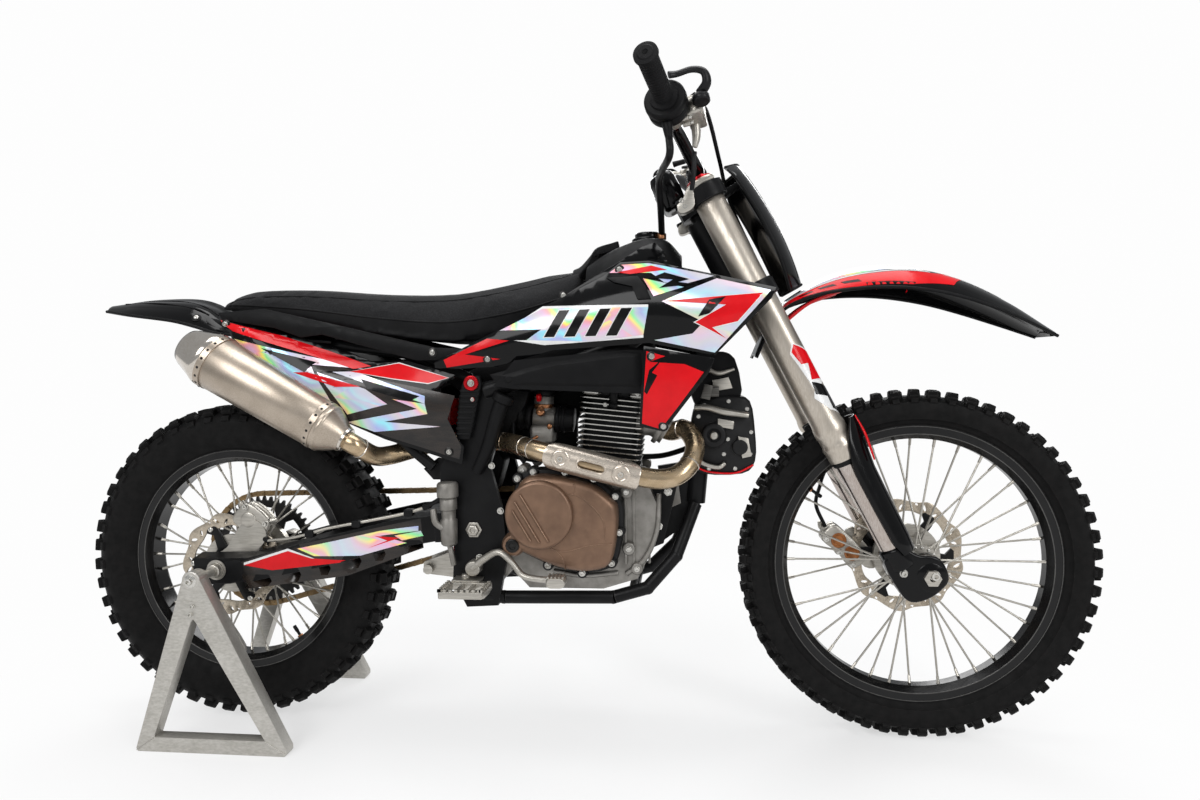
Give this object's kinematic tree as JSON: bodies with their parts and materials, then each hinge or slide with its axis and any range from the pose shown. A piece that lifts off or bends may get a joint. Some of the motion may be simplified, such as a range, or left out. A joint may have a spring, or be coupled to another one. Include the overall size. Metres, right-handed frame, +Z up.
{
  "type": "dirt bike",
  "caption": "Off-road motorcycle on paddock stand frames, with steering fork, spoked knobbly wheels, engine, exhaust, seat and plastic bodywork",
  "frame": {"origin": "on the floor, midway between the front and the back of the wheels, in the middle plane of the bike", "axes": "+X points forward, +Y to the rider's left, +Z up"},
  "size_m": [2.1086, 0.82, 1.2558],
  "materials": {
    "frame_black": "satin black paint",
    "engine_grey": "cast alloy, dark grey",
    "engine_black": "black paint, bright fin edges",
    "bronze": "matte bronze",
    "plastic_black": "moulded satin",
    "spring_red": "gloss spring",
    "alloy": "machined",
    "chain": "gold-brown links",
    "header": "heat-tinted",
    "titanium": "brushed, warm",
    "seat_cover": "gripper fabric",
    "gloss_black": "gloss with colour graphics",
    "stand_alloy": "brushed square tube",
    "fork_titanium": "satin warm titanium",
    "fork_leg": "polished",
    "grip_rubber": "soft",
    "lever_black": "satin",
    "hose_black": "smooth",
    "tyre_black": "knobbly",
    "rim_black": "gloss anodised",
    "disc_steel": "ground",
    "sprocket_black": "satin anodised"
  },
  "bodies": {
    "chassis": {"main_frame": "frame_black", "subframe": "frame_black", "engine_cases": "engine_grey", "engine_cylinder": "engine_black", "engine_covers": "bronze", "carburettor": "engine_grey", "airbox": "plastic_black", "rear_shock": "spring_red", "shock_linkage": "alloy", "swingarm": "frame_black", "drive_chain": "chain", "rear_axle": "alloy", "rear_caliper": "alloy", "rear_master_cylinder": "engine_grey", "brake_pedal": "alloy", "shift_lever": "alloy", "footpegs": "alloy", "exhaust_header": "header", "heat_shield": "titanium", "muffler": "titanium", "fuel_tank": "plastic_black", "fuel_cap": "plastic_black", "seat": "seat_cover", "shrouds": "gloss_black", "side_panels": "gloss_black", "rear_fender": "gloss_black", "air_ducts": "plastic_black", "oil_cooler": "engine_grey", "paddock_stand": "stand_alloy"},
    "steering": {"triple_clamps": "frame_black", "fork_tubes": "fork_titanium", "fork_legs": "fork_leg", "fork_guards": "plastic_black", "handlebar": "frame_black", "hand_grips": "grip_rubber", "hand_levers": "lever_black", "number_plate": "gloss_black", "front_fender": "gloss_black", "front_caliper": "alloy", "front_axle": "alloy", "brake_hose": "hose_black"},
    "front_wheel": {"front_tyre": "tyre_black", "front_rim": "rim_black", "front_hub": "alloy", "front_disc": "disc_steel"},
    "rear_wheel": {"rear_tyre": "tyre_black", "rear_rim": "rim_black", "rear_hub": "alloy", "rear_disc": "disc_steel", "rear_sprocket": "sprocket_black"}
  },
  "joints": [
    {"name": "steering_turn", "type": "hinge", "parent": "chassis", "child": "steering", "pos_m": [0.3221, 0, 0.96785], "axis": [-0.454, 0, 0.891], "range_deg": [-42, 42]},
    {"name": "front_wheel_spin", "type": "hinge", "parent": "steering", "child": "front_wheel", "pos_m": [0.70425, 0, 0.35], "axis": [0, 1, 0], "continuous": true},
    {"name": "rear_wheel_spin", "type": "hinge", "parent": "chassis", "child": "rear_wheel", "pos_m": [-0.71575, 0, 0.3445], "axis": [0, 1, 0], "continuous": true}
  ]
}
